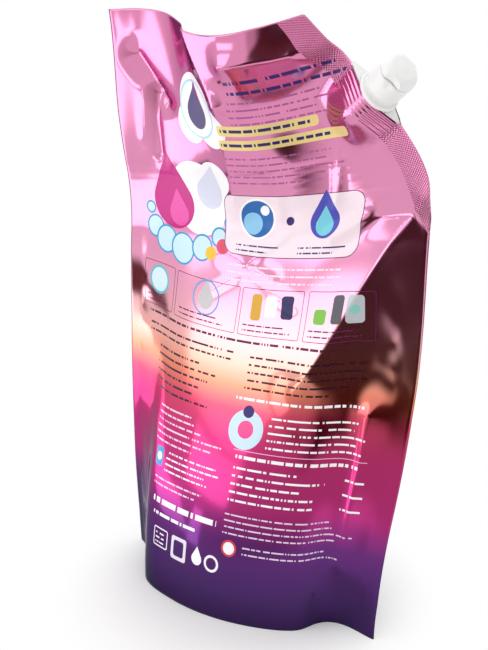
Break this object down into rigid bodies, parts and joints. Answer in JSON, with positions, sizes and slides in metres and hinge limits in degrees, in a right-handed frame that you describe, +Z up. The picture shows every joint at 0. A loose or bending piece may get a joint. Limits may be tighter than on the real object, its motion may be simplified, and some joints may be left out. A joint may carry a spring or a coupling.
{
  "type": "liquid detergent refill pouch",
  "caption": "Stand-up refill pouch of creased metallised film with a moulded pour spout welded into its cut top corner and a flip-top cap whose lid hinges open.",
  "frame": {"origin": "middle of the flat gusset floor that the pouch stands on", "axes": "+Z up, +X from the plain side seal to the spout corner's side seal, -Y out of the label side"},
  "size_m": [0.2092, 0.083, 0.324],
  "materials": {
    "printed_film": "glossy metallised laminate, printed from pink at the top through orange to purple at the foot",
    "white_moulding": "natural white polyolefin with a soft gloss"
  },
  "bodies": {
    "pack": {"pouch": "printed_film", "spout": "white_moulding", "collar": "white_moulding"},
    "lid": {"lid": "white_moulding"}
  },
  "joints": [
    {"name": "lid_hinge", "type": "hinge", "parent": "pack", "child": "lid", "pos_m": [0.08303, 0.01554, 0.29412], "axis": [-0.5936, -0.4402, 0.6737], "range_deg": [0, 135]}
  ]
}
